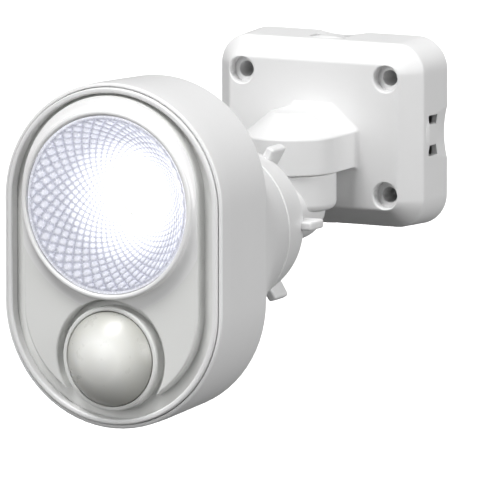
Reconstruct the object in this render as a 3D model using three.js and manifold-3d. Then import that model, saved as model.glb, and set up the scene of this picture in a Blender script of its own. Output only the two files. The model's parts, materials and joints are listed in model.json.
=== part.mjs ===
/**
 * Wall-mounted sensor floodlight: a round LED lamp and a motion sensor in one
 * upright capsule head, held by a ball joint on an arm that swivels under a
 * hooded wall base.
 *
 * Everything is modelled in millimetres in the "facing" frame: x to the right,
 * y up, z out of the wall towards the person looking at the lamp. The last
 * group turns that frame so that +Z is up and the lamp looks along -Y.
 */
import * as THREE from 'three';
import { mergeVertices } from 'three/addons/utils/BufferGeometryUtils.js';
import Module from 'manifold-3d';

// ---------------------------------------------------------------- dimensions

const GAP = 0.3; // clearance between touching pieces
const ROUND = 28; // facets around a turned piece, unless it says otherwise

// Wall base
const BASE_W = 100;
const BASE_H = 82;
const BASE_D = 30;
const BASE_SIDE_D = 21; // depth of the side wall, in front of it is the chamfer
const BASE_DRAFT = 1; // how much each side leans in over the side wall
const BASE_FLAT_W = 81.4;
const BASE_FLAT_H = 63.4;
const BASE_CORNER = 14;
const BASE_FLAT_CORNER = 5;
const BASE_WALL = 3;
const HOLE_X = 34.7;
const HOLE_Y = 25.4;
const HOLE_R = 5.65; // counterbore for the wall screw's head
const HOLE_FLOOR_Z = 25;
const HOLE_STEP_R = 3.4;
const HOLE_STEP_Z = 12;
const HOLE_THROUGH_R = 2.6;
const POST_R = 8.2;
const PLATE_T = 2.5;
const GASKET_W = 2;
const KNOCKOUT_LENGTH = 17.6;
const KNOCKOUT_REAR = 8.4;
const KNOCKOUT_FRONT = 16.8;
const TONGUE_LENGTH = 9.6;
const SCOOP_LENGTH = 23;
const SCOOP_DEPTH = 1.5;
const SCOOP_END_Z = 16.5;

// Hood and swivel, on the upright axis x = 0, z = SWIVEL_Z
const SWIVEL_Z = 50.5;
const HOOD_R = 20.9;
const HOOD_BOTTOM = -13.7;
const HOOD_SHOULDER = 2;
const HOOD_TOP = 12;
const HOOD_TOP_R = 9;
const HOOD_WALL = 3;
const STUB_R = 19.4;
const STUB_TOP = -14.7;
const STUB_BOTTOM = -30;
const SPIGOT_R = 9.6;
const SPIGOT_TOP = 0;
const LEAD_BORE_R = 4.5;
const LEAD_R = 2.2;

// Arm and ball
const NECK_Y = -29.2;
const HEEL_R = 14.8;
const NECK_END_R = 9.5;
const ARM_LENGTH = 61.8; // swivel axis to ball centre
const BALL_R = 20;
const NECK_PLUG = 10; // how far from the ball's centre the neck ends
const LINER_T = 1.7;
const BALL_Z = SWIVEL_Z + ARM_LENGTH;

// Head, in its own frame: z = 0 at the housing's front rim
const HEAD_FROM_BALL = 102.1; // ball centre to the housing's front rim
const HALF_W = 51; // radius of both round ends of the capsule
const STRAIGHT = 43; // distance between the centres of the round ends
const SIDE_D = 42.5;
const SIDE_DRAFT = 1.5;
const SHELL_T = 2.6;
const SHOULDER_HALF = 47.5;
const REAR_R = 36.4;
const REAR_Z = -89.9;
const FRONT_RECESS = 49.4;
const LEDGE_HALF = 45.5;
const LEDGE_TOP = -8.2;
const LEDGE_T = 2.8;
const PILLAR_X = 34;
const PILLAR_Y = STRAIGHT / 2 + 27;
const FLOOR_Z = -3.6; // floor of the grooves in the front panel
const PANEL_T = 3;
const BEZEL_OUT = 49.1;
const BEZEL_IN = 46.8;
const BEZEL_TOP = 1.2;
const BEZEL_EDGE = 0.6; // chamfer along both edges
const PLATEAU_HALF = 40.8;
const PLATEAU_TOP_Y = 26.4; // centre of the plateau's top arc, nearer the bezel than its sides
const PLATEAU_Z = 2.1;

// Lamp and sensor, both on the head's centreline
const LAMP_Y = 22.2;
const LAMP_R = 39.7;
const LAMP_LIP = 2.2;
const LAMP_FRONT = 6.5;
const SKIRT_R = 45.3; // foot of the hollow-curved skirt round the lamp
const APERTURE_R = 8;
const APERTURE_Z = -21.7;
const PIR_Y = -42.7;
const PIR_R = 19.8;
const PIR_BASE_Z = 3;
const PIR_CAP = 11;
const PIR_TROUGH_R = 25.1;
const COLLAR_R = 22;

// Lock ring, measured from the ball's centre along the head's axis
const RING_FRONT = 11.8;
const RING_REAR = -11;
const RING_FRONT_R = 36.7;
const RING_REAR_R = 31.8;
const RING_BORE_R = 28.5;
const LUGS = 6;
const LUG_TURN = -2; // degrees
const LUG_T = 4.5;
const LUG_FRONT = 2;
const LUG_REAR = -18.5;
const LUG_INNER_R = 29.6;
const LUG_OUTER_R = 38;

// Adjuster dials, in a pocket on the underside of the head
const DIAL_X = 10;
const DIAL_Z = -22;
const DIAL_R = 5;
const POCKET_ROOF = -67.5;

// ----------------------------------------------------------------- materials

const plastic = (color, roughness = 0.45) =>
  new THREE.MeshStandardMaterial({ color, roughness, metalness: 0 });
const metal = (color, roughness = 0.35) =>
  new THREE.MeshStandardMaterial({ color, roughness, metalness: 1 });

const WHITE = 0xe9e9e6;
const PANEL_GREY = 0xd4d5d2;
const IVORY = 0xeeeee2;
const BOARD_GREEN = 0x1f6b3a;
const BLACK = 0x1c1c1c;
const RUBBER = 0x2a2a2a;
const ZINC = 0xb9bcc0;

// ------------------------------------------------------------ solid modelling

const wasm = await Module();
wasm.setup();

/** Makes a solid from a closed geometry. */
function solid(geometry) {
  const bare = geometry.clone();
  bare.deleteAttribute('normal');
  bare.deleteAttribute('uv');
  const welded = mergeVertices(bare, 1e-4);
  const corners = welded.index.array;
  const triangles = [];
  for (let i = 0; i < corners.length; i += 3) {
    const [a, b, c] = corners.subarray(i, i + 3);
    if (a !== b && b !== c && c !== a) triangles.push(a, b, c);
  }
  return new wasm.Manifold(new wasm.Mesh({
    numProp: 3,
    vertProperties: welded.attributes.position.array,
    triVerts: new Uint32Array(triangles),
  }));
}

/** Makes a named mesh from a solid. */
function piece(name, body, material) {
  const { vertProperties, triVerts } = body.getMesh();
  const geometry = new THREE.BufferGeometry();
  geometry.setAttribute('position', new THREE.BufferAttribute(vertProperties, 3));
  geometry.setIndex(new THREE.BufferAttribute(triVerts, 1));
  geometry.computeVertexNormals();
  const mesh = new THREE.Mesh(geometry, material);
  mesh.name = name;
  return mesh;
}

const union = (...bodies) => bodies.reduce((all, next) => all.add(next));
const cut = (body, ...tools) => tools.reduce((left, tool) => left.subtract(tool), body);

/** A block from its two opposite corners. */
function block(low, high) {
  const size = high.map((value, i) => value - low[i]);
  const centre = high.map((value, i) => (value + low[i]) / 2);
  return solid(new THREE.BoxGeometry(...size).translate(...centre));
}

/** A solid of revolution about z. The profile is a list of [radius, z]. */
function turned(profile, segments = ROUND) {
  const area = profile.reduce((sum, [r, z], i) => {
    const [nextR, nextZ] = profile[(i + 1) % profile.length];
    return sum + r * nextZ - nextR * z;
  }, 0);
  const points = profile.map(([r, z]) => new THREE.Vector2(r, z));
  if (area < 0) points.reverse();
  const onAxis = points[0].x === 0 && points[points.length - 1].x === 0;
  if (!onAxis) points.push(points[0].clone());
  return solid(new THREE.LatheGeometry(points, segments).rotateX(Math.PI / 2));
}

/** A solid of revolution about an upright line. The profile is [radius, y]. */
function turnedUpright(profile, x, z, segments = ROUND) {
  return turned(profile, segments).rotate([-90, 0, 0]).translate([x, 0, z]);
}

const disc = (radius, z0, z1, segments = ROUND) =>
  turned([[0, z0], [radius, z0], [radius, z1], [0, z1]], segments);

const hoop = (inner, outer, z0, z1, segments = ROUND) =>
  turned([[inner, z0], [outer, z0], [outer, z1], [inner, z1]], segments);

const uprightDisc = (radius, y0, y1, x, z, segments = 20) =>
  turnedUpright([[0, y0], [radius, y0], [radius, y1], [0, y1]], x, z, segments);

/** A solid through a stack of outlines with the same number of points. */
function lofted(sections) {
  const count = sections[0].outline.length;
  const positions = [];
  const triangles = [];
  for (const { outline, z } of sections) {
    for (const point of outline) positions.push(point.x, point.y, z);
  }
  for (let row = 0; row < sections.length - 1; row += 1) {
    for (let i = 0; i < count; i += 1) {
      const a = row * count + i;
      const b = row * count + (i + 1) % count;
      triangles.push(a, b, b + count, a, b + count, a + count);
    }
  }
  const top = (sections.length - 1) * count;
  for (const [a, b, c] of THREE.ShapeUtils.triangulateShape(sections[0].outline, [])) {
    triangles.push(a, c, b);
  }
  for (const [a, b, c] of THREE.ShapeUtils.triangulateShape(sections.at(-1).outline, [])) {
    triangles.push(top + a, top + b, top + c);
  }
  const geometry = new THREE.BufferGeometry();
  geometry.setAttribute('position', new THREE.Float32BufferAttribute(positions, 3));
  geometry.setIndex(triangles);
  return solid(geometry);
}

/** An arc of points, counter-clockwise for a rising angle. */
function arc(x, y, radius, from, to, steps) {
  return Array.from({ length: steps + 1 }, (_, i) => {
    const angle = from + ((to - from) * i) / steps;
    return new THREE.Vector2(x + radius * Math.cos(angle), y + radius * Math.sin(angle));
  });
}

/** An upright capsule: two round ends joined by straight sides. */
function capsule(half, straight = STRAIGHT, steps = 10) {
  return [
    ...arc(0, straight / 2, half, 0, Math.PI, steps),
    ...arc(0, -straight / 2, half, Math.PI, 2 * Math.PI, steps),
  ];
}

/** A rectangle with round corners. */
function roundedRectangle(width, height, corner, steps = 4) {
  const x = width / 2 - corner;
  const y = height / 2 - corner;
  const quarter = Math.PI / 2;
  return [
    ...arc(x, y, corner, 0, quarter, steps),
    ...arc(-x, y, corner, quarter, 2 * quarter, steps),
    ...arc(-x, -y, corner, 2 * quarter, 3 * quarter, steps),
    ...arc(x, -y, corner, 3 * quarter, 4 * quarter, steps),
  ];
}

const slab = (outline, z0, z1) => lofted([{ outline, z: z0 }, { outline, z: z1 }]);

const capsuleHoop = (inner, outer, z0, z1) =>
  cut(slab(capsule(outer), z0, z1), slab(capsule(inner), z0 - 1, z1 + 1));

/** A round lead of constant thickness through a list of [x, y, z] points. */
function lead(points, radius = LEAD_R, steps = 14) {
  const path = new THREE.CatmullRomCurve3(points.map((point) => new THREE.Vector3(...point)));
  const section = new THREE.Shape(arc(0, 0, radius, 0, 2 * Math.PI, 8).slice(0, -1));
  const options = { extrudePath: path, steps, bevelEnabled: false };
  return solid(new THREE.ExtrudeGeometry(section, options));
}

/** A pan-head screw along z, with its head at the back. */
function screw(headR, shankR, headZ, headT, tipZ) {
  return turned([
    [0, headZ], [headR, headZ], [headR, headZ + headT],
    [shankR, headZ + headT], [shankR, tipZ], [0, tipZ],
  ], 12);
}

/** Points on a sphere's profile, for angles from the +z axis in degrees. */
function spherical(radius, fromDegrees, toDegrees, steps) {
  return Array.from({ length: steps + 1 }, (_, i) => {
    const polar = THREE.MathUtils.degToRad(fromDegrees + ((toDegrees - fromDegrees) * i) / steps);
    return [radius * Math.sin(polar), radius * Math.cos(polar)];
  });
}

// ------------------------------------------------------------------ wall base

/** The base's outer form, or its hollow when it is inset by the wall. */
function baseForm(inset, rearZ) {
  const outline = (width, height, corner) => roundedRectangle(
    width - 2 * inset, height - 2 * inset, Math.max(corner - inset, 2));
  const drafted = (lean) => outline(BASE_W - 2 * lean, BASE_H - 2 * lean, BASE_CORNER - lean);
  return lofted([
    { outline: drafted(0), z: rearZ },
    { outline: drafted(BASE_DRAFT), z: BASE_SIDE_D - inset * 0.6 },
    { outline: outline(BASE_FLAT_W, BASE_FLAT_H, BASE_FLAT_CORNER), z: BASE_D - inset },
  ]);
}

/** The hood over the swivel: a round front that runs straight back into the base. */
function hoodForm(inset, backZ, bottom, top) {
  const outline = (radius) => [
    ...arc(0, -SWIVEL_Z, radius, Math.PI, 2 * Math.PI, 14),
    new THREE.Vector2(radius, -backZ),
    new THREE.Vector2(-radius, -backZ),
  ];
  return lofted([
    { outline: outline(HOOD_R - inset), z: bottom },
    { outline: outline(HOOD_R - inset), z: HOOD_SHOULDER },
    { outline: outline(HOOD_TOP_R - inset), z: top },
  ]).rotate([-90, 0, 0]);
}

/** The scoop and the U-shaped slot of a cable knock-out, in the wall on the +x side. */
function knockoutCut(halfWidth) {
  const scoopR = (SCOOP_LENGTH ** 2 / 4 + SCOOP_DEPTH ** 2) / (2 * SCOOP_DEPTH);
  const scoop = disc(scoopR, -1, SCOOP_END_Z, 96).translate([halfWidth - SCOOP_DEPTH + scoopR, 0, 0]);
  const reach = KNOCKOUT_LENGTH / 2;
  const tongue = TONGUE_LENGTH / 2;
  const slot = cut(
    block([halfWidth - 6, -reach, KNOCKOUT_REAR], [halfWidth + 3, reach, KNOCKOUT_FRONT]),
    block([halfWidth - 7, -tongue, KNOCKOUT_REAR - 1], [halfWidth + 4, tongue, KNOCKOUT_FRONT - 1.1]));
  return union(scoop, slot);
}

function holeCentres() {
  return [[-1, 1], [1, 1], [-1, -1], [1, -1]].map(([x, y]) => [x * HOLE_X, y * HOLE_Y]);
}

function baseHousing() {
  const shell = cut(baseForm(0, 0), baseForm(BASE_WALL, -1));
  const hood = hoodForm(0, BASE_D - BASE_WALL, HOOD_BOTTOM, HOOD_TOP);
  let body = union(shell, hood);
  for (const [x, y] of holeCentres()) {
    const post = disc(POST_R, PLATE_T + GAP, BASE_D - 1, 20).translate([x, y, 0]);
    body = body.add(post.intersect(baseForm(0, 0)));
  }
  const chamber = hoodForm(
    HOOD_WALL, BASE_D - BASE_WALL - 2, HOOD_BOTTOM + HOOD_WALL, HOOD_TOP - HOOD_WALL);
  body = cut(body, chamber, uprightDisc(13.3, HOOD_BOTTOM - 1, HOOD_BOTTOM + 5, 0, SWIVEL_Z, ROUND));
  for (const [x, y] of holeCentres()) {
    const through = disc(HOLE_THROUGH_R, 0, BASE_D, 14);
    const step = disc(HOLE_STEP_R, HOLE_STEP_Z, BASE_D, 16);
    const counterbore = disc(HOLE_R, HOLE_FLOOR_Z, BASE_D + 1, 20);
    body = cut(body, union(through, step, counterbore).translate([x, y, 0]));
  }
  const side = knockoutCut(BASE_W / 2);
  const top = knockoutCut(BASE_H / 2);
  body = cut(body, side, side.rotate([0, 0, 180]), top.rotate([0, 0, 90]), top.rotate([0, 0, -90]));
  return piece('base_housing', body, plastic(WHITE));
}

function backPlate() {
  const inset = 2 * (BASE_WALL + GASKET_W + 2 * GAP);
  const width = BASE_W - inset;
  const height = BASE_H - inset;
  let body = slab(roundedRectangle(width, height, BASE_CORNER - inset / 2), 0, PLATE_T);
  for (const [x, y] of holeCentres()) {
    body = cut(body, disc(HOLE_THROUGH_R, -1, PLATE_T + 1, 14).translate([x, y, 0]));
  }
  for (const [x, y] of plateScrewCentres()) {
    body = cut(body, disc(2.9, -1, 1.5, 12).translate([x, y, 0]));
    body = cut(body, disc(1.7, 0, PLATE_T + 1, 12).translate([x, y, 0]));
  }
  body = cut(body, disc(7, -1, PLATE_T + 1, 18).translate([0, 25, 0]));
  return piece('back_plate', body, plastic(0xdcdcd8, 0.6));
}

function baseGasket() {
  const outer = BASE_WALL + GAP;
  const ring = (inset) => roundedRectangle(
    BASE_W - 2 * inset, BASE_H - 2 * inset, BASE_CORNER - inset);
  const body = cut(slab(ring(outer), 0, 2), slab(ring(outer + GASKET_W), -1, 3));
  return piece('base_gasket', body, plastic(RUBBER, 0.9));
}

function plateScrewCentres() {
  return [[-38.5, 0], [38.5, 0], [-22, -29], [22, -29]];
}

function plateScrews() {
  return plateScrewCentres().map(([x, y], i) => piece(
    `plate_screw_${i + 1}`,
    screw(2.6, 1.4, 0.3, 0.9, 6.5).translate([x, y, 0]),
    metal(ZINC)));
}

function driverBoard() {
  const body = block([-25, -35, 9], [25, -12, 10.6]);
  return piece('driver_board', body, plastic(BOARD_GREEN, 0.6));
}

function powerInductor() {
  const core = turned([
    [0, 10.9], [7, 10.9], [7, 12.4], [5.4, 12.4], [5.4, 19.4], [7, 19.4], [7, 20.9], [0, 20.9],
  ], 16);
  return piece('power_inductor', core.translate([-13, -23.5, 0]), metal(0x8c4a22, 0.5));
}

function storageCapacitor() {
  const can = turned([[0, 10.9], [5, 10.9], [5, 22.4], [4.4, 23], [0, 23]], 16);
  return piece('storage_capacitor', can.translate([12, -23.5, 0]), plastic(0x23304d, 0.4));
}

function terminalBlock() {
  let body = block([-16, 4, PLATE_T + GAP], [16, 15, 14]);
  for (const x of [-10.5, 0, 10.5]) {
    body = cut(body, disc(2.2, 9, 15, 12).translate([x, 9.5, 0]));
    body = cut(body, block([x - 2, 11, 4.5], [x + 2, 16, 8]));
  }
  return piece('terminal_block', body, plastic(0xf2f0e8, 0.5));
}

function cableClamp() {
  const feet = [-11, 11].map((x) => block([x - 3, 27.5, PLATE_T + GAP], [x + 3, 34, 8]));
  let body = union(block([-14, 27.5, 7], [14, 34, 10]), ...feet);
  for (const x of [-11, 11]) {
    body = cut(body, disc(1.7, 0, 12, 12).translate([x, 30.7, 0]));
  }
  return piece('cable_clamp', body, plastic(BLACK, 0.6));
}

function clampScrews() {
  return [-11, 11].map((x, i) => piece(
    `clamp_screw_${i + 1}`,
    turned([[0, 3.4], [1.4, 3.4], [1.4, 10.3], [2.8, 10.3], [2.8, 12], [0, 12]], 12)
      .translate([x, 30.7, 0]),
    metal(ZINC)));
}

function swivelBush() {
  const body = turnedUpright([
    [SPIGOT_R + GAP, -13.5], [13, -13.5], [13, -10.4], [16.5, -10.4],
    [16.5, -9.2], [SPIGOT_R + GAP, -9.2],
  ], 0, SWIVEL_Z);
  return piece('swivel_bush', body, plastic(0x3a3a3a, 0.4));
}

function baseLead() {
  const body = lead([
    [8, 14, 17], [5, 5.5, 28], [2, 3.6, 38], [0.3, 3, 46], [0, 0.8, SWIVEL_Z - 0.5], [0, -3, SWIVEL_Z],
  ]);
  return piece('base_lead', body, plastic(0xf0f0f0, 0.5));
}

// ------------------------------------------------------------------------ arm

/** Moves something made along +z from the origin onto the arm's own line. */
const alongArm = (body) => body.translate([0, NECK_Y, SWIVEL_Z]);

function armElbow() {
  const round = arc(STUB_R - 3, STUB_BOTTOM + 3, 3, -Math.PI / 2, 0, 3).map((p) => [p.x, p.y]);
  const post = turnedUpright([
    [0, STUB_BOTTOM], ...round, [STUB_R, STUB_TOP - 0.6], [STUB_R - 0.6, STUB_TOP],
    [SPIGOT_R, STUB_TOP], [SPIGOT_R, SPIGOT_TOP], [0, SPIGOT_TOP],
  ], 0, SWIVEL_Z);
  const heel = solid(new THREE.SphereGeometry(HEEL_R, 24, 14));
  const neck = turned([
    [0, 0], [HEEL_R, 0], [HEEL_R - 1, ARM_LENGTH * 0.35], [NECK_END_R, ARM_LENGTH * 0.6],
    [NECK_END_R, ARM_LENGTH - NECK_PLUG], [0, ARM_LENGTH - NECK_PLUG],
  ], 24);
  const bore = union(
    solid(new THREE.SphereGeometry(LEAD_BORE_R, 12, 8)), disc(LEAD_BORE_R, 0, ARM_LENGTH, 12));
  const drop = uprightDisc(LEAD_BORE_R, NECK_Y, SPIGOT_TOP + 1, 0, SWIVEL_Z, 12);
  const body = cut(union(post, alongArm(heel), alongArm(neck)), drop, alongArm(bore));
  return piece('arm_elbow', body, plastic(WHITE));
}

function ballEnd() {
  const ball = turned([[0, -BALL_R], ...spherical(BALL_R, 180, 0, 12).slice(1, -1), [0, BALL_R]]);
  const pocket = disc(NECK_END_R + GAP, -BALL_R - 1, -NECK_PLUG + GAP, 20);
  const body = cut(ball, pocket, disc(LEAD_BORE_R, -NECK_PLUG, BALL_R + 1, 12));
  return piece('ball_end', alongArm(body.translate([0, 0, ARM_LENGTH])), plastic(0xdededb, 0.35));
}

function swivelSeal() {
  const body = turnedUpright([[10.1, -14.5], [13, -14.5], [13, -13.9], [10.1, -13.9]], 0, SWIVEL_Z);
  return piece('swivel_seal', body, plastic(RUBBER, 0.9));
}

function swivelWasher() {
  const body = turnedUpright([[9.9, -8.9], [15.5, -8.9], [15.5, -8.1], [9.9, -8.1]], 0, SWIVEL_Z);
  return piece('swivel_washer', body, metal(ZINC));
}

function swivelNut() {
  const body = cut(
    uprightDisc(15.5, -7.8, -2.8, 0, SWIVEL_Z, 6),
    uprightDisc(SPIGOT_R + GAP, -9, 0, 0, SWIVEL_Z, ROUND));
  return piece('swivel_nut', body, metal(ZINC));
}

function armLead() {
  const reach = ARM_LENGTH + BALL_R - 2;
  const onArm = (length, rise = 0) => [0, NECK_Y + rise, SWIVEL_Z + length];
  const body = lead([
    [0, -4, SWIVEL_Z], [0, -14, SWIVEL_Z], [0, -24, SWIVEL_Z],
    onArm(1.6, 1.4), onArm(6), onArm(22), onArm(45), onArm(reach),
  ], 2, 24);
  return piece('arm_lead', body, plastic(0xf0f0f0, 0.5));
}

// --------------------------------------------------------- ball joint linings

/** A spherical lining around the front of the ball. */
function lining(inner, outer, outerEdge) {
  const edge = 26;
  const outside = spherical(outer, outerEdge, edge, 4);
  const inside = spherical(inner, edge, outerEdge, 4);
  return turned([...outside, ...inside], 32).translate([0, NECK_Y, BALL_Z]);
}

function ballLiner() {
  const inner = BALL_R + GAP;
  return piece('ball_liner', lining(inner, inner + LINER_T, 66), plastic(0x3d3f42, 0.5));
}

function clampSeat() {
  const inner = BALL_R + LINER_T + 2 * GAP;
  return piece('clamp_seat', lining(inner, inner + LINER_T, 72), plastic(0x5b5e62, 0.5));
}

// ----------------------------------------------------------------------- head

const SOCKET_R = BALL_R + 2 * LINER_T + 3 * GAP;

/** Half-width and straight length of the rear dome, by its height above REAR_Z. */
function domeSection(z, inset) {
  const rise = (z - REAR_Z) / (-SIDE_D - 1.5 - REAR_Z);
  const half = REAR_R + (SHOULDER_HALF - REAR_R) * Math.sin(rise * 1.2) / Math.sin(1.2);
  return { outline: capsule(half - inset, STRAIGHT * rise ** 4), z };
}

/** The housing's outer form, or its hollow when it is inset by the shell. */
function headForm(inset) {
  const steps = 6;
  const rear = REAR_Z + (inset ? 3.5 : 0);
  const shoulderZ = -SIDE_D - 1.5;
  const dome = Array.from({ length: steps + 1 }, (_, i) =>
    domeSection(rear + ((shoulderZ - rear) * i) / steps, inset));
  const side = (half, z) => ({ outline: capsule(half - inset), z });
  return lofted([
    ...dome,
    side(HALF_W - SIDE_DRAFT - 0.4, -SIDE_D - 1.1),
    side(HALF_W - SIDE_DRAFT, -SIDE_D),
    side(HALF_W, -8),
    side(HALF_W, inset ? 5 : -0.8),
    ...(inset ? [] : [side(HALF_W - 0.8, 0)]),
  ]);
}

function pillarCentres() {
  return [[-1, 1], [1, 1], [-1, -1], [1, -1]].map(([x, y]) => [x * PILLAR_X, y * PILLAR_Y]);
}

/** The collar and cup that the ball sits in, about the head frame's own z axis. */
function ballSocket() {
  const collar = disc(28, -3.9, HEAD_FROM_BALL + REAR_Z + 1.5);
  const cup = turned([[0, 0], ...spherical(SOCKET_R + 2.9, 90, 0, 6).slice(0, -1), [0, SOCKET_R + 2.9]]);
  return union(collar, cup).translate([0, 0, -HEAD_FROM_BALL]);
}

function socketHollow() {
  const dome = spherical(SOCKET_R, 90, 0, 7).slice(0, -1);
  const ball = turned([[0, -8], [SOCKET_R, -8], ...dome, [0, SOCKET_R]], 32);
  return union(ball, disc(12, 0, SOCKET_R + 6, 20)).translate([0, 0, -HEAD_FROM_BALL]);
}

function headHousing() {
  const form = headForm(0);
  let body = cut(form, headForm(SHELL_T));
  const ledge = capsuleHoop(LEDGE_HALF, HALF_W - 1, LEDGE_TOP - LEDGE_T, LEDGE_TOP);
  const pocketBlock = block([-21.5, -80, -32.5], [21.5, POCKET_ROOF + 2.5, LEDGE_TOP - LEDGE_T]);
  body = union(body, ledge, pocketBlock.intersect(form), ballSocket());
  for (const [x, y] of pillarCentres()) {
    const pillar = disc(4.6, -SIDE_D - 6, LEDGE_TOP - 1, 14).translate([x, y, 0]);
    body = body.add(pillar.intersect(form));
  }
  body = cut(body, slab(capsule(FRONT_RECESS), LEDGE_TOP, 5), socketHollow());
  for (const [x, y] of pillarCentres()) {
    const bore = union(disc(1.8, -60, 0, 12), disc(3.2, -70, -37.8, 16));
    body = cut(body, bore.translate([x, y, 0]));
  }
  body = cut(body, block([-19, -80, -30], [19, POCKET_ROOF, -14]));
  for (const x of [-DIAL_X, DIAL_X]) {
    body = cut(body, uprightDisc(2.2, POCKET_ROOF - 1, POCKET_ROOF + 4, x, DIAL_Z, 12));
  }
  return piece('head_housing', body, plastic(WHITE));
}

function frontBezel() {
  const outside = lofted([
    { outline: capsule(BEZEL_OUT), z: FLOOR_Z + GAP },
    { outline: capsule(BEZEL_OUT), z: BEZEL_TOP - BEZEL_EDGE },
    { outline: capsule(BEZEL_OUT - BEZEL_EDGE), z: BEZEL_TOP },
  ]);
  const inside = lofted([
    { outline: capsule(BEZEL_IN), z: FLOOR_Z - 1 },
    { outline: capsule(BEZEL_IN), z: BEZEL_TOP - BEZEL_EDGE },
    { outline: capsule(BEZEL_IN + BEZEL_EDGE + 0.3), z: BEZEL_TOP + 0.3 },
  ]);
  const body = cut(outside, inside);
  return piece('front_bezel', body, plastic(WHITE));
}

/** The plateau's outline: like the capsule, but reaching further up. */
function plateauOutline(half) {
  return [
    ...arc(0, PLATEAU_TOP_Y, half, 0, Math.PI, 10),
    ...arc(0, -STRAIGHT / 2, half, Math.PI, 2 * Math.PI, 10),
  ];
}

/** The raised plateau of the panel, or its hollow when inset. */
function plateau(inset, z0, z1) {
  const raised = lofted([
    { outline: plateauOutline(PLATEAU_HALF + 0.3 - inset), z: z0 },
    { outline: plateauOutline(PLATEAU_HALF - inset), z: z1 - (inset ? 0 : 0.5) },
    ...(inset ? [] : [{ outline: plateauOutline(PLATEAU_HALF - 0.5), z: z1 }]),
  ]);
  return cut(
    raised,
    disc(LAMP_R + GAP + inset, -20, 20, 44).translate([0, LAMP_Y, 0]),
    disc(PIR_TROUGH_R + inset, -20, 20, 32).translate([0, PIR_Y, 0]));
}

function frontPanel() {
  const rear = FLOOR_Z - PANEL_T;
  const plate = slab(capsule(FRONT_RECESS - GAP), rear, FLOOR_Z);
  const collar = disc(COLLAR_R, rear, PIR_BASE_Z, 32).translate([0, PIR_Y, 0]);
  let body = union(plate, plateau(0, FLOOR_Z - 1, PLATEAU_Z), collar);
  body = cut(
    body,
    plateau(2, rear - 1, PLATEAU_Z - 2),
    disc(LAMP_R + GAP, -20, 20, 40).translate([0, LAMP_Y, 0]),
    disc(PIR_R + GAP, -20, 20, 32).translate([0, PIR_Y, 0]));
  for (const [x, y] of pillarCentres()) {
    body = cut(body, disc(1.7, rear - 1, rear + 2, 12).translate([x, y, 0]));
  }
  return piece('front_panel', body, plastic(PANEL_GREY, 0.35));
}

function panelGasket() {
  const body = capsuleHoop(LEDGE_HALF + 2, FRONT_RECESS - GAP, LEDGE_TOP + GAP, FLOOR_Z - PANEL_T - GAP);
  return piece('panel_gasket', body, plastic(RUBBER, 0.9));
}

function coverScrews() {
  return pillarCentres().map(([x, y], i) => piece(
    `cover_screw_${i + 1}`,
    screw(2.8, 1.4, -40.4, 2.3, FLOOR_Z - PANEL_T + 1.6).translate([x, y, 0]),
    metal(ZINC)));
}

/** A barrel through the panel, and a hollow-curved skirt on the plateau round it. */
function lampRing() {
  const inner = LAMP_R - LAMP_LIP;
  const seat = PLATEAU_Z + GAP;
  const edge = seat + 0.3;
  const reach = SKIRT_R - LAMP_R;
  const rise = LAMP_FRONT - 0.6 - edge;
  const skirt = Array.from({ length: 6 }, (_, i) => {
    const turn = (i * Math.PI) / 10;
    return [LAMP_R + reach * (1 - Math.sin(turn)), edge + rise * (1 - Math.cos(turn))];
  });
  const body = turned([
    [inner, FLOOR_Z - PANEL_T], [LAMP_R, FLOOR_Z - PANEL_T], [LAMP_R, seat], [SKIRT_R, seat],
    ...skirt, [LAMP_R - 0.6, LAMP_FRONT], [inner + 0.4, LAMP_FRONT], [inner, LAMP_FRONT - 0.4],
  ], 44).translate([0, LAMP_Y, 0]);
  const trimmed = cut(
    body.intersect(slab(plateauOutline(PLATEAU_HALF - 0.1), FLOOR_Z - PANEL_T - 1, LAMP_FRONT + 1)),
    disc(PIR_TROUGH_R, seat - 0.1, LAMP_FRONT + 1, 32).translate([0, PIR_Y, 0]));
  return piece('lamp_ring', trimmed, plastic(0xf1f1ee, 0.3));
}

function lampLens() {
  const body = disc(LAMP_R - LAMP_LIP - GAP, 5, 6.1, 40).translate([0, LAMP_Y, 0]);
  return piece('lamp_lens', body, plastic(0xffffff, 0.05));
}

function reflector() {
  const rim = 4.7;
  const rimR = LAMP_R - LAMP_LIP - GAP;
  const thickness = 1.2;
  const bowl = (extra) => Array.from({ length: 7 }, (_, i) => {
    const rise = (i / 6) ** 1.5;
    const radius = Math.sqrt(APERTURE_R ** 2 + ((rimR - thickness) ** 2 - APERTURE_R ** 2) * rise);
    return [radius + extra, APERTURE_Z + (rim - APERTURE_Z) * rise];
  });
  const body = turned([...bowl(thickness), ...bowl(0).reverse()], 36);
  return piece('reflector', body.translate([0, LAMP_Y, 0]), metal(0xf4f6fa, 0.12));
}

function ledHolder() {
  const body = hoop(8.6, 15.5, -24.2, APERTURE_Z - GAP, 24).translate([0, LAMP_Y, 0]);
  return piece('led_holder', body, plastic(0xf5f5f2, 0.5));
}

function ledChip() {
  const body = disc(6.5, -24.2, -23.3, 24).translate([0, LAMP_Y, 0]);
  const glow = new THREE.MeshStandardMaterial({ color: 0xfff3c8, emissive: 0xffffff, roughness: 0.6 });
  return piece('led_chip', body, glow);
}

function ledBoard() {
  const body = disc(17, -26.1, -24.5, 24).translate([0, LAMP_Y, 0]);
  return piece('led_board', body, plastic(0xe8e8e4, 0.4));
}

function heatSink() {
  let body = disc(27, -29.9, -26.4, 32);
  for (const y of [-18, -12, -6, 0, 6, 12, 18]) {
    const reach = Math.sqrt(25 ** 2 - y ** 2);
    body = body.add(block([-reach, y - 0.9, -48], [reach, y + 0.9, -29]));
  }
  return piece('heat_sink', body.translate([0, LAMP_Y, 0]), metal(0xc3c6ca, 0.45));
}

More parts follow.
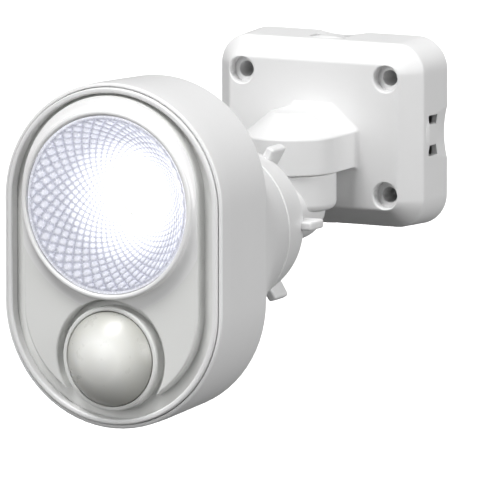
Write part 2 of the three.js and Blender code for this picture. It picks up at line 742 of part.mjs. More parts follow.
function pirLens() {
  const sphereR = (PIR_R ** 2 + PIR_CAP ** 2) / (2 * PIR_CAP);
  const edge = THREE.MathUtils.radToDeg(Math.asin(PIR_R / sphereR));
  const centreZ = PIR_BASE_Z + PIR_CAP - sphereR;
  const cap = (radius, from, to) => spherical(radius, from, to, 5).map(([r, z]) => [r, z + centreZ]);
  const wall = 1.2;
  const flangeZ = FLOOR_Z - PANEL_T - GAP;
  const innerEdge = THREE.MathUtils.radToDeg(Math.asin((PIR_R - wall) / (sphereR - wall)));
  const body = turned([
    [PIR_R - wall, flangeZ - 1.7], [PIR_R + 2.6, flangeZ - 1.7], [PIR_R + 2.6, flangeZ],
    [PIR_R, flangeZ], ...cap(sphereR, edge, 0).slice(0, -1), [0, PIR_BASE_Z + PIR_CAP],
    [0, PIR_BASE_Z + PIR_CAP - wall], ...cap(sphereR - wall, 0, innerEdge).slice(1),
  ], 32);
  return piece('pir_lens', body.translate([0, PIR_Y, 0]), plastic(IVORY, 0.4));
}

function sensorShroud() {
  const body = turned([[7, -14.7], [8.4, -14.7], [17.6, -9.2], [16.4, -9.2]], 24);
  return piece('sensor_shroud', body.translate([0, PIR_Y, 0]), plastic(BLACK, 0.7));
}

function pirSensor() {
  const can = turned([
    [0, -14.7], [4.7, -14.7], [4.7, -14], [4.1, -14], [4.1, -10.6], [0, -10.6],
  ], 16);
  return piece('pir_sensor', can.translate([0, PIR_Y, 0]), metal(ZINC));
}

function lightSensor() {
  const body = turned([[0, -14.7], [2, -14.7], [2, -13.2], [1.4, -12.5], [0, -12.4]], 12);
  return piece('light_sensor', body.translate([12, PIR_Y - 10, 0]), plastic(0xb4532e, 0.4));
}

function sensorBoard() {
  const body = block([-27, -58, -16.6], [27, -23, -15]);
  return piece('sensor_board', body, plastic(BOARD_GREEN, 0.6));
}

function adjusterBoard() {
  const body = block([-18, POCKET_ROOF + 4.8, -28.5], [18, POCKET_ROOF + 6.4, -17.5]);
  return piece('adjuster_board', body, plastic(BOARD_GREEN, 0.6));
}

function headLead() {
  const body = lead([
    [0, 0, 30 - HEAD_FROM_BALL], [0, -2, -64], [0, -12, -52], [0, -20, -38], [0, -28, -26], [0, -32, -18],
  ]);
  return piece('head_lead', body, plastic(0xf0f0f0, 0.5));
}

/** A dial that turns about an upright shaft, with a grip bar under it. */
function dial(name, x) {
  const knob = uprightDisc(DIAL_R, -69.8, POCKET_ROOF - GAP, x, DIAL_Z, 20);
  const bar = block([x - 0.9, -70.9, DIAL_Z - 4.2], [x + 0.9, -69.5, DIAL_Z + 4.2]);
  const shaft = uprightDisc(1.8, -68, POCKET_ROOF + 4.4, x, DIAL_Z, 12);
  return piece(name, union(knob, bar, shaft), plastic(0xc9cac8, 0.5));
}

// ------------------------------------------------------------------ lock ring

/** One grip lug, a rounded rib that stands out of the ring along the axis. */
function lug() {
  const middle = (LUG_FRONT + LUG_REAR) / 2;
  const shape = roundedRectangle(LUG_FRONT - LUG_REAR, LUG_OUTER_R - LUG_INNER_R, 3.4, 3);
  return slab(shape, -LUG_T / 2, LUG_T / 2)
    .rotate([90, 0, 0])
    .rotate([0, -90, 0])
    .translate([(LUG_OUTER_R + LUG_INNER_R) / 2, 0, middle]);
}

function lockRing() {
  const lip = spherical(BALL_R + GAP, 102, 112, 3);
  let body = turned([
    [RING_FRONT_R - 0.8, RING_FRONT], [RING_FRONT_R, RING_FRONT - 0.8],
    [RING_REAR_R, RING_REAR + 0.8], [RING_REAR_R - 0.8, RING_REAR], [24.5, RING_REAR],
    ...lip.reverse(), [RING_BORE_R, -4.3], [RING_BORE_R, RING_FRONT],
  ], 36);
  for (let i = 0; i < LUGS; i += 1) {
    body = body.add(lug().rotate([0, 0, LUG_TURN + (i * 360) / LUGS]));
  }
  body = body.translate([0, 0, -HEAD_FROM_BALL]);
  return piece('lock_ring', body, plastic(WHITE));
}

// ------------------------------------------------------------------- assembly

const wallBase = new THREE.Group();
wallBase.add(
  baseHousing(), backPlate(), baseGasket(), ...plateScrews(), driverBoard(), powerInductor(),
  storageCapacitor(), terminalBlock(), cableClamp(), ...clampScrews(), swivelBush(), baseLead());

const arm = new THREE.Group();
arm.add(armElbow(), ballEnd(), swivelSeal(), swivelWasher(), swivelNut(), armLead());

const linings = new THREE.Group();
linings.add(ballLiner(), clampSeat());

const head = new THREE.Group();
head.position.set(0, NECK_Y, BALL_Z + HEAD_FROM_BALL);
head.add(
  headHousing(), frontBezel(), frontPanel(), panelGasket(), ...coverScrews(), lampRing(), lampLens(),
  reflector(), ledHolder(), ledChip(), ledBoard(), heatSink(), pirLens(), sensorShroud(),
  pirSensor(), lightSensor(), sensorBoard(), adjusterBoard(), headLead(), lockRing(),
  dial('time_dial', -DIAL_X), dial('light_dial', DIAL_X));

const floodlight = new THREE.Group();
floodlight.rotation.x = Math.PI / 2;
floodlight.add(wallBase, arm, linings, head);

export default floodlight;
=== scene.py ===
"""Looks of a wall-mounted sensor floodlight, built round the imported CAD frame.

Shapes are made in millimetres in the "facing" frame of the CAD: x to the right,
y up and z out of the wall. `finished` puts them in the row frame, in metres.
"""
import json
import math

import bmesh
import bpy
import numpy as np
from mathutils import Matrix, Vector


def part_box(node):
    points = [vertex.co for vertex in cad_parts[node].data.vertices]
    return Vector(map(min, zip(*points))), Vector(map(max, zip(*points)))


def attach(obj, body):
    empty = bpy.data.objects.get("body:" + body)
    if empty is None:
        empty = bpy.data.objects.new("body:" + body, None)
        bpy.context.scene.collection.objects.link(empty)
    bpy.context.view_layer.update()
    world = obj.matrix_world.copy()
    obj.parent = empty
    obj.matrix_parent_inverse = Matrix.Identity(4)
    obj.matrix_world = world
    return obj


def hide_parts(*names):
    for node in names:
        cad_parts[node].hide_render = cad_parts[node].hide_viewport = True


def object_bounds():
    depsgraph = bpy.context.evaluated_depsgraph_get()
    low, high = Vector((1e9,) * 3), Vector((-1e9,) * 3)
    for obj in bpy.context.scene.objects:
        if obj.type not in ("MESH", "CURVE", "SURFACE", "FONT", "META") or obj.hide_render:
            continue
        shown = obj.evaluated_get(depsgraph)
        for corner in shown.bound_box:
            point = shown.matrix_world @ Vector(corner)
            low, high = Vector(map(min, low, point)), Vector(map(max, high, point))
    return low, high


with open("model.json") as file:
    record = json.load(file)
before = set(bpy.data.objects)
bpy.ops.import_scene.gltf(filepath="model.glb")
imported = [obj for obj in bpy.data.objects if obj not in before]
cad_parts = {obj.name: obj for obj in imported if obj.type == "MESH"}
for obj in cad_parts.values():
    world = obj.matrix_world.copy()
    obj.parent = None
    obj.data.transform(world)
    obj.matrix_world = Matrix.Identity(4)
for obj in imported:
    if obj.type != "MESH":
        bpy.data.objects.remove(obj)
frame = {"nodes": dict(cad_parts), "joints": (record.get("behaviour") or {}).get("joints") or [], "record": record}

CAD_LOW, CAD_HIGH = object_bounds()
RECORD = frame["record"]
NODES = frame["nodes"]
TAU = 2 * math.pi


# ------------------------------------------------------------------ dimensions

def facing_box(node):
    """Lowest and highest corner of a CAD node in the facing frame, in mm."""
    low, high = (corner * 1000 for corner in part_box(node))
    return (low.x, low.z, -high.y), (high.x, high.z, -low.y)


def facing_centre(node):
    low, high = facing_box(node)
    return [(a + b) / 2 for a, b in zip(low, high)]


GAP = 0.3
BASE_W = facing_box("base_housing")[1][0] * 2
BASE_H = facing_box("base_housing")[1][1] * 2
BASE_D = 30.0
BASE_CORNER = 14.0
BASE_PROFILE = [(0.0, 0.0, 0.0), (1.0, 21.0, 2.6), (9.3, 30.0, 2.2), (11.5, 30.0, 0.0)]
HOLES = [(sx * 34.7, sy * 25.4) for sx in (-1, 1) for sy in (-1, 1)]
HOLE_R, HOLE_FLOOR, HOLE_STEP_R, HOLE_STEP_Z, HOLE_THROUGH_R = 5.65, 25.0, 3.4, 12.0, 2.6

SWIVEL_Z = facing_centre("swivel_bush")[2]
HOOD_R, HOOD_BOTTOM, HOOD_SHOULDER, HOOD_TOP, HOOD_TOP_R = 20.9, -13.7, 2.0, 12.0, 9.0
STUB_R, STUB_TOP, STUB_BOTTOM = 19.4, -14.0, -30.0

NECK_Y = facing_centre("ball_end")[1]
BALL_Z = next(-1000 * j["pos_m"][1] for j in frame["joints"] if j["name"] == "head_pan")
BALL_R = 20.0
ARM_LENGTH = BALL_Z - SWIVEL_Z
RIM_Z = facing_box("head_housing")[1][2]
HEAD_FROM_BALL = RIM_Z - BALL_Z

HALF_W, STRAIGHT, SHELL_T = 51.0, 43.0, 2.6
SIDE_D, SHOULDER_HALF, REAR_R, REAR_Z = 42.5, 47.5, 36.4, -89.9
FRONT_RECESS, LEDGE_TOP, FLOOR_Z, PANEL_T = 49.4, -8.2, -3.6, 3.0
PILLARS = [(sx * 34.0, sy * 48.5) for sx in (-1, 1) for sy in (-1, 1)]
BEZEL_OUT, BEZEL_IN, BEZEL_TOP = 49.1, 46.8, 1.2
PLATEAU_HALF, PLATEAU_TOP_Y, PLATEAU_Z = 40.8, 26.4, 2.1
LAMP_Y = facing_centre("lamp_lens")[1] - NECK_Y
LAMP_R, LAMP_LIP, LAMP_FRONT, SKIRT_R = 39.7, 2.2, 6.5, 45.3
APERTURE_R, APERTURE_Z = 8.0, -21.7
PIR_Y = facing_centre("pir_lens")[1] - NECK_Y
PIR_R, PIR_BASE_Z, PIR_CAP, PIR_TROUGH_R, COLLAR_R = 19.8, 3.0, 11.0, 25.1, 22.0
DIAL_X, DIAL_Z, DIAL_R, POCKET_ROOF = 10.0, -22.0, 5.0, -67.5
LED_BACK_Z, LED_FRONT_Z, LED_R, HOLDER_IN_R, HOLDER_OUT_R = -24.2, -23.3, 6.5, 8.6, 15.5
LENS_BACK_Z, LENS_FRONT_Z = 5.0, 6.1
NECK_BORE_R, NECK_END_R, NECK_HEEL_R = 4.5, 9.5, 14.8
LUG_TURN, LUG_COUNT = 1, 6

# The studio, in metres and degrees.
AZIMUTH, ELEVATION, DISTANCE = 27.2, 8.5, 3.8
LENS, SENSOR = 669, 36
AIM_BACK, AIM_DOWN = 0.0153, 0.0085
FLOOR_HEIGHT, FLOOR_SIZE, BACKDROP_R = -0.45, 40, 7.0


# ----------------------------------------------------------------- mesh making

def made(bm, name="form"):
    """Turns a bmesh into an object in the scene, with its faces outward."""
    bmesh.ops.remove_doubles(bm, verts=bm.verts, dist=1e-4)
    bmesh.ops.recalc_face_normals(bm, faces=bm.faces)
    mesh = bpy.data.meshes.new(name)
    bm.to_mesh(mesh)
    bm.free()
    piece = bpy.data.objects.new(name, mesh)
    bpy.context.scene.collection.objects.link(piece)
    return piece


def from_faces(points, faces):
    bm = bmesh.new()
    verts = [bm.verts.new(p) for p in points]
    for face in faces:
        bm.faces.new([verts[i] for i in face])
    return made(bm)


def skin(rings, closed=False):
    """A closed form through rings of points. A closed skin joins its last ring to its first."""
    count, rows = len(rings[0]), len(rings)
    points = [tuple(p) for ring in rings for p in ring]
    faces = []
    for row in range(rows if closed else rows - 1):
        a, b = row * count, (row + 1) % rows * count
        faces += [(a + i, a + (i + 1) % count, b + (i + 1) % count, b + i) for i in range(count)]
    if not closed:
        last = (rows - 1) * count
        faces += [tuple(range(count - 1, -1, -1)), tuple(range(last, last + count))]
    return from_faces(points, faces)


def rounded(points, closed=False, steps=5):
    """A polyline of (a, b, radius) corners with each corner turned into an arc."""
    out = []
    total = len(points)
    for i, (a, b, radius) in enumerate(points):
        corner = np.array((a, b), float)
        if not radius or (not closed and i in (0, total - 1)):
            out.append((a, b))
            continue
        before = np.array(points[i - 1][:2], float) - corner
        after = np.array(points[(i + 1) % total][:2], float) - corner
        reach = min(np.linalg.norm(before), np.linalg.norm(after))
        before /= np.linalg.norm(before)
        after /= np.linalg.norm(after)
        angle = math.acos(np.clip(before @ after, -1, 1))
        cut = min(radius / math.tan(angle / 2), reach * 0.98)
        radius = cut * math.tan(angle / 2)
        bisector = (before + after) / np.linalg.norm(before + after)
        centre = corner + bisector * radius / math.sin(angle / 2)
        start, end = corner + before * cut - centre, corner + after * cut - centre
        sweep = math.pi - angle
        for k in range(steps + 1):
            f = k / steps
            s = (start * math.sin((1 - f) * sweep) + end * math.sin(f * sweep)) / math.sin(sweep)
            out.append(tuple(centre + s))
    return out


def circle(radius, x=0.0, y=0.0, segments=96):
    turn = np.arange(segments) * TAU / segments
    return np.stack([x + radius * np.cos(turn), y + radius * np.sin(turn)], 1)


def capsule(half, straight=STRAIGHT, steps=36):
    """An upright capsule: two round ends joined by straight sides."""
    turn = np.linspace(0, math.pi, steps + 1)
    arc = np.stack([half * np.cos(turn), half * np.sin(turn)], 1)
    lift = np.array((0, straight / 2))
    return np.concatenate([arc + lift, -arc - lift])


def rounded_rectangle(width, height, corner, steps=8):
    x, y = width / 2 - corner, height / 2 - corner
    parts = []
    for quarter, (cx, cy) in enumerate([(x, y), (-x, y), (-x, -y), (x, -y)]):
        turn = (quarter + np.linspace(0, 1, steps + 1)) * math.pi / 2
        parts.append(np.stack([cx + corner * np.cos(turn), cy + corner * np.sin(turn)], 1))
    return np.concatenate(parts)


def at(outline, z):
    return np.column_stack([outline, np.full(len(outline), z)])


def turned(profile, closed=False, x=0.0, y=0.0, z=0.0, segments=96):
    """A solid of revolution about z. The profile is a list of (radius, z)."""
    return skin([at(circle(r, x, y, segments), h + z) for r, h in profile], closed)


def turned_upright(profile, closed=False, x=0.0, z=0.0, segments=96):
    """A solid of revolution about an upright line. The profile is a list of (radius, y)."""
    rings = [at(circle(r, x, z, segments), h)[:, [0, 2, 1]] for r, h in profile]
    return skin(rings, closed)


def swept(profile, outline, closed=False):
    """A form whose section follows a profile of (size, z) round an outline of that size."""
    return skin([at(outline(size), z) for size, z in profile], closed)


def rounded_block(low, high, radius=0.5, segments=3):
    bm = bmesh.new()
    bmesh.ops.create_cube(bm, size=1)
    size = Vector(high) - Vector(low)
    bmesh.ops.scale(bm, vec=size, verts=bm.verts)
    bmesh.ops.translate(bm, vec=(Vector(high) + Vector(low)) / 2, verts=bm.verts)
    if radius:
        bmesh.ops.bevel(bm, geom=bm.edges[:], offset=radius, segments=segments, profile=0.5,
                        affect="EDGES")
    return made(bm)


def ellipsoid(centre, radii, segments=48):
    bm = bmesh.new()
    bmesh.ops.create_uvsphere(bm, u_segments=segments, v_segments=segments // 2, radius=1)
    bmesh.ops.scale(bm, vec=radii, verts=bm.verts)
    bmesh.ops.translate(bm, vec=centre, verts=bm.verts)
    return made(bm)


def moved(piece, matrix):
    piece.data.transform(matrix)
    return piece


def turn_z(degrees):
    return Matrix.Rotation(math.radians(degrees), 4, "Z")


def combined(body, *steps):
    """Applies (operation, tool) pairs to a form, and removes the tools."""
    for operation, tool in steps:
        step = body.modifiers.new("step", "BOOLEAN")
        step.operation = operation
        step.object = tool
        step.solver = "MANIFOLD"
    bpy.context.view_layer.update()
    graph = bpy.context.evaluated_depsgraph_get()
    mesh = bpy.data.meshes.new_from_object(body.evaluated_get(graph))
    body.modifiers.clear()
    body.data = mesh
    for _, tool in steps:
        bpy.data.objects.remove(tool)
    return body


def cut(body, *tools):
    return combined(body, *[("DIFFERENCE", tool) for tool in tools])


def joined(body, *others):
    return combined(body, *[("UNION", other) for other in others])


def common(body, other):
    return combined(body, ("INTERSECT", other))


def cylinder(radius, z0, z1, x=0.0, y=0.0, segments=64):
    return turned([(radius, z0), (radius, z1)], x=x, y=y, segments=segments)


def flared_hole(radius, floor, top, chamfer, x=0.0, y=0.0, segments=64):
    """A tool for a round hole whose mouth, at the height top, has a rounded edge."""
    edge = [(radius + chamfer * (1 - math.cos(a)), top - chamfer * (1 - math.sin(a)))
            for a in np.linspace(0, math.pi / 2, 6)]
    mouth = [(radius + chamfer, top + 4)]
    return turned([(radius, floor), *edge, *mouth], x=x, y=y, segments=segments)


HEAD_PLACE = Matrix.Translation((0, NECK_Y, RIM_Z))
FACING_TO_ROW = Matrix(((0.001, 0, 0, 0), (0, 0, -0.001, 0), (0, 0.001, 0, 0), (0, 0, 0, 1)))


def finished(piece, name, body, nodes, slot, sharp=32, place=None, weighted=True):
    """Names a form, gives it its finish and makes it stand for its CAD nodes."""
    piece.data.transform(FACING_TO_ROW @ (place or Matrix.Identity(4)))
    piece.name = piece.data.name = name
    mesh = piece.data
    mesh.materials.clear()
    mesh.materials.append(MATERIALS[slot])
    mesh.polygons.foreach_set("material_index", [0] * len(mesh.polygons))
    mesh.polygons.foreach_set("use_smooth", [True] * len(mesh.polygons))
    mesh.set_sharp_from_angle(angle=math.radians(sharp))
    if weighted:
        flatten = piece.modifiers.new("weighted_normals", "WEIGHTED_NORMAL")
        flatten.keep_sharp = True
    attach(piece, body)
    if nodes:
        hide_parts(*nodes)
    return piece


# ------------------------------------------------------------------- materials

MATERIALS = {}


def new_material(name):
    material = bpy.data.materials.new(name)
    material.use_nodes = True
    tree = material.node_tree
    MATERIALS[name] = material
    return tree, tree.nodes["Principled BSDF"]


def node(tree, kind, **settings):
    made_node = tree.nodes.new(kind)
    for key, value in settings.items():
        if hasattr(made_node, key):
            setattr(made_node, key, value)
        else:
            made_node.inputs[key.replace("_", " ").title()].default_value = value
    return made_node


def noise(tree, scale, detail=3.0):
    place = tree.nodes.get("place") or node(tree, "ShaderNodeTexCoord", name="place")
    texture = node(tree, "ShaderNodeTexNoise")
    texture.inputs["Scale"].default_value = scale
    texture.inputs["Detail"].default_value = detail
    tree.links.new(place.outputs["Object"], texture.inputs["Vector"])
    return texture.outputs["Fac"]


def blended(tree, factor, low, high):
    mix = node(tree, "ShaderNodeMix", data_type="RGBA")
    tree.links.new(factor, mix.inputs[0])
    mix.inputs[6].default_value = (*low, 1)
    mix.inputs[7].default_value = (*high, 1)
    return mix.outputs[2]


def ranged(tree, factor, low, high, start=0.3, end=0.7):
    change = node(tree, "ShaderNodeMapRange")
    tree.links.new(factor, change.inputs[0])
    for i, value in enumerate((start, end, low, high), 1):
        change.inputs[i].default_value = value
    return change.outputs[0]


def bumped(tree, shader, factor, strength, distance):
    bump = node(tree, "ShaderNodeBump")
    bump.inputs["Strength"].default_value = strength
    bump.inputs["Distance"].default_value = distance
    tree.links.new(factor, bump.inputs["Height"])
    tree.links.new(bump.outputs[0], shader.inputs["Normal"])


def shade(colour, factor):
    return tuple(min(1.0, c * factor) for c in colour)


def moulded(name, colour, roughness, grain=2600, depth=0.00002, strength=0.25, spread=0.03,
            metallic=0.0, coat=0.0, patch=55):
    """Moulded or cast surface: fine grain, faint patches of tone and uneven gloss."""
    tree, shader = new_material(name)
    tree.links.new(blended(tree, noise(tree, patch), shade(colour, 1 - spread),
                           shade(colour, 1 + spread)), shader.inputs["Base Color"])
    tree.links.new(ranged(tree, noise(tree, patch * 7), roughness * 0.88, roughness * 1.12),
                   shader.inputs["Roughness"])
    bumped(tree, shader, noise(tree, grain, 2.0), strength, depth)
    shader.inputs["Metallic"].default_value = metallic
    shader.inputs["Coat Weight"].default_value = coat
    shader.inputs["Coat Roughness"].default_value = 0.15
    return tree, shader


def slot_colour(slot):
    for entry in RECORD["materials"]:
        if entry["slot"] == slot:
            return tuple(entry["base_color"][:3])
    raise KeyError(slot)


def plastics_and_metals():
    plain = slot_colour
    moulded("shell_white", (0.8, 0.8, 0.8), 0.42, spread=0.012)
    moulded("panel_grey", (0.76, 0.765, 0.75), 0.36, spread=0.012, coat=0.15)
    moulded("ring_white", (0.86, 0.86, 0.86), 0.22, grain=1800, strength=0.1, spread=0.01, coat=0.3)
    moulded("plate_plastic", plain("plate_plastic"), 0.6, strength=0.4)
    moulded("ball_plastic", plain("ball_plastic"), 0.3, strength=0.12)
    moulded("bearing_plastic", plain("bearing_plastic"), 0.45)
    moulded("black_plastic", plain("black_plastic"), 0.5)
    moulded("seal_rubber", plain("seal_rubber"), 0.8, grain=1500, strength=0.5, spread=0.15)
    moulded("terminal_plastic", plain("terminal_plastic"), 0.5)
    moulded("lead_insulation", plain("lead_insulation"), 0.35, strength=0.15)
    moulded("led_ceramic", plain("led_ceramic"), 0.5)
    moulded("dial_grey", plain("dial_grey"), 0.45, spread=0.04)
    moulded("capacitor_sleeve", plain("capacitor_sleeve"), 0.3, spread=0.08)
    moulded("sensor_amber", plain("sensor_amber"), 0.25, spread=0.08)
    moulded("screw_zinc", plain("screw_zinc"), 0.3, grain=5200, strength=0.2, spread=0.08, metallic=1.0)
    moulded("sensor_can", plain("sensor_can"), 0.25, grain=5200, strength=0.2, spread=0.06, metallic=1.0)


def brushed_aluminium():
    """Extruded fins: fine lines along the extrusion."""
    colour = slot_colour("sink_aluminium")
    tree, shader = new_material("sink_aluminium")
    place = node(tree, "ShaderNodeTexCoord")
    stretch = node(tree, "ShaderNodeMapping")
    stretch.inputs["Scale"].default_value = (60, 60, 3000)
    lines = node(tree, "ShaderNodeTexNoise")
    lines.inputs["Scale"].default_value = 1.0
    tree.links.new(place.outputs["Object"], stretch.inputs["Vector"])
    tree.links.new(stretch.outputs[0], lines.inputs["Vector"])
    factor = lines.outputs["Fac"]
    tree.links.new(blended(tree, factor, shade(colour, 0.85), shade(colour, 1.12)),
                   shader.inputs["Base Color"])
    bumped(tree, shader, factor, 0.3, 0.00003)
    shader.inputs["Metallic"].default_value = 1.0
    shader.inputs["Roughness"].default_value = 0.42


def circuit_board():
    """Green solder mask over a faint maze of tracks."""
    colour = slot_colour("circuit_board")
    tree, shader = new_material("circuit_board")
    place = node(tree, "ShaderNodeTexCoord")
    cells = node(tree, "ShaderNodeTexVoronoi", distance="CHEBYCHEV", feature="F1")
    cells.inputs["Scale"].default_value = 260
    tree.links.new(place.outputs["Object"], cells.inputs["Vector"])
    edge = ranged(tree, cells.outputs["Distance"], 0.0, 1.0, 0.38, 0.42)
    tree.links.new(blended(tree, edge, colour, shade(colour, 1.9)), shader.inputs["Base Color"])
    bumped(tree, shader, edge, 0.3, 0.00004)
    shader.inputs["Roughness"].default_value = 0.3


def copper_coil():
    """Fine turns of varnished wire, wound round the coil's own axis."""
    colour = slot_colour("copper_coil")
    tree, shader = new_material("copper_coil")
    place = node(tree, "ShaderNodeTexCoord")
    turns = node(tree, "ShaderNodeTexWave", wave_type="BANDS", bands_direction="Y")
    turns.inputs["Scale"].default_value = 420
    tree.links.new(place.outputs["Object"], turns.inputs["Vector"])
    factor = turns.outputs["Fac"]
    tree.links.new(blended(tree, factor, shade(colour, 0.5), shade(colour, 1.2)),
                   shader.inputs["Base Color"])
    bumped(tree, shader, factor, 0.6, 0.0001)
    shader.inputs["Metallic"].default_value = 0.9
    shader.inputs["Roughness"].default_value = 0.3


def milky_lens():
    """Sensor dome: milky plastic, with painted shade that darkens its colour towards its rim."""
    tree, shader = moulded("pir_ivory", slot_colour("pir_ivory"), 0.3, grain=1500, strength=0.06,
                           spread=0.01, patch=30)
    low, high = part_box("pir_lens")
    gap = node(tree, "ShaderNodeVectorMath", operation="DISTANCE")
    gap.inputs[1].default_value = ((low.x + high.x) / 2, low.y, (low.z + high.z) / 2)
    tree.links.new(tree.nodes["place"].outputs["Object"], gap.inputs[0])
    # Painted shade: the dome's base colour darkens from its middle towards its rim.
    painted_rim_shade = ranged(tree, gap.outputs["Value"], 0.0, 1.0, 0.009, 0.025)
    tone = blended(tree, painted_rim_shade, (0.86, 0.86, 0.82), (0.36, 0.36, 0.33))
    tree.links.new(tone, shader.inputs["Base Color"])
    shader.inputs["Subsurface Weight"].default_value = 0.12
    shader.inputs["Subsurface Radius"].default_value = (0.004, 0.0035, 0.0025)
    shader.inputs["Subsurface Scale"].default_value = 1.0


def clear_lens():
    tree, shader = new_material("clear_lens")
    shader.inputs["Base Color"].default_value = (0.99, 0.995, 1.0, 1)
    tree.links.new(ranged(tree, noise(tree, 400), 0.0, 0.03), shader.inputs["Roughness"])
    shader.inputs["IOR"].default_value = 1.3
    shader.inputs["Transmission Weight"].default_value = 1.0


def lamp_centre():
    low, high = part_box("led_chip")
    return (low + high) / 2


def glow(tree, reach):
    """Mask for the painted glow: distance from the LED, as 1 at the LED and 0 at the given reach in metres."""
    place = node(tree, "ShaderNodeTexCoord")
    gap = node(tree, "ShaderNodeVectorMath", operation="DISTANCE")
    gap.inputs[1].default_value = lamp_centre()
    tree.links.new(place.outputs["Object"], gap.inputs[0])
    return ranged(tree, gap.outputs["Value"], 1.0, 0.0, 0.004, reach)


def reflector_metal():
    """Vacuum-metallised facets with a painted glow for the LED's light, brightest near the LED, and painted shade
    on the lines between the facets.
    """
    tree, shader = new_material("reflector_metal")
    # Painted glow: the reflector emits light, strongest near the LED, in place of the LED's light reflected in it.
    painted_glow_near = glow(tree, 0.048)
    facet = node(tree, "ShaderNodeAttribute", attribute_name="facet")
    # Painted shade on the lines between facets and painted highlight on their middles, carried in the emission
    # colour.
    painted_line_shade = ranged(tree, facet.outputs["Fac"], 0.0, 1.0, 0.12, 0.7)
    painted_glow_tint = node(tree, "ShaderNodeMix", data_type="RGBA")
    tree.links.new(painted_line_shade, painted_glow_tint.inputs[0])
    painted_glow_tint.inputs[6].default_value = (0.27, 0.28, 0.33, 1)
    painted_glow_tint.inputs[7].default_value = (0.93, 0.94, 1.0, 1)
    shader.inputs["Base Color"].default_value = (0.36, 0.36, 0.4, 1)
    tree.links.new(painted_glow_tint.outputs[2], shader.inputs["Emission Color"])
    tree.links.new(ranged(tree, painted_glow_near, 0.56, 2.2, 0.38, 0.82), shader.inputs["Emission Strength"])
    tree.links.new(ranged(tree, noise(tree, 900), 0.2, 0.3), shader.inputs["Roughness"])
    shader.inputs["Metallic"].default_value = 0.7


def led_glow():
    """Phosphor over the LED: a fine cell pattern that glows."""
    tree, shader = new_material("led_glow")
    cells = node(tree, "ShaderNodeTexVoronoi")
    cells.inputs["Scale"].default_value = 900
    place = node(tree, "ShaderNodeTexCoord")
    tree.links.new(place.outputs["Object"], cells.inputs["Vector"])
    tone = blended(tree, cells.outputs["Distance"], (1.0, 0.97, 0.85), (1.0, 0.9, 0.62))
    tree.links.new(tone, shader.inputs["Base Color"])
    shader.inputs["Emission Color"].default_value = (1.0, 0.99, 0.97, 1)
    shader.inputs["Emission Strength"].default_value = 3.0
    shader.inputs["Roughness"].default_value = 0.5


plastics_and_metals()
brushed_aluminium()
circuit_board()
copper_coil()
milky_lens()
clear_lens()
reflector_metal()
led_glow()


# ------------------------------------------------------------------- wall base

def base_outline(inset):
    return rounded_rectangle(BASE_W - 2 * inset, BASE_H - 2 * inset, max(BASE_CORNER - inset, 2.5), 12)


def hood_profile(offset):
    """Half section of the hood, from its middle underneath to its middle on top."""
    slope = math.atan2(HOOD_TOP - HOOD_SHOULDER, HOOD_R - HOOD_TOP_R)
    lift = offset * math.tan(slope / 2)
    rise = offset * math.tan((math.pi / 2 - slope) / 2)
    return rounded([
        (0, HOOD_BOTTOM - offset, 0),
        (HOOD_R + offset, HOOD_BOTTOM - offset, 0.7),
        (HOOD_R + offset, HOOD_SHOULDER + rise, 1.6),
        (HOOD_TOP_R + lift, HOOD_TOP + offset, 1.6),
        (0, HOOD_TOP + offset, 0),
    ])


def hood_form(inset=0.0, start=BASE_D - 3, flare=2.0):
    """The hood: its half section swept forward, round the swivel axis and back again."""
    straight = [(start, flare)]
    for a in np.linspace(0, math.pi / 2, 7):
        reach = flare * (1 - math.sin(a))
        straight.append((BASE_D - 0.01 + flare * (1 - math.cos(a)), reach))
    straight.append((SWIVEL_Z, 0))
    path = [(z, -1, 0, f) for z, f in straight[:-1]]
    path += [(SWIVEL_Z, -math.cos(a), math.sin(a), 0) for a in np.linspace(0, math.pi, 49)]
    path += [(z, 1, 0, f) for z, f in straight[-2::-1]]
    points, faces = [], []
    for z, nx, nz, offset in path:
        points += [(s * nx, y, z + s * nz) for s, y in hood_profile(offset - inset)]
    count = len(hood_profile(0))
    for row in range(len(path) - 1):
        a, b = row * count, (row + 1) * count
        faces += [(a + i, a + i + 1, b + i + 1, b + i) for i in range(count - 1)]
    last = (len(path) - 1) * count
    faces.append([*range(count), *range(last + count - 2, last, -1)])
    return from_faces(points, faces)


def knockout(half):
    """Tools for the knock-out in the +x wall: what is added, what is cut and the tongue."""
    lip = ellipsoid((half - 1.7, 0, 14.8), (1.75, 9.0, 5.2))
    scoop_r = (23.0 ** 2 / 4 + 1.5 ** 2) / 3.0
    scoop = cylinder(scoop_r, -1, 16.4, x=half - 1.5 + scoop_r, segments=256)
    slot = rounded_block((half - 6, -8.8, 8.4), (half + 3, 8.8, 16.8), 0.5)
    tongue = rounded_block((half - 4.2, -4.8, 6.0), (half - 1.3, 4.8, 15.7), 0.9)
    return lip, scoop, slot, tongue


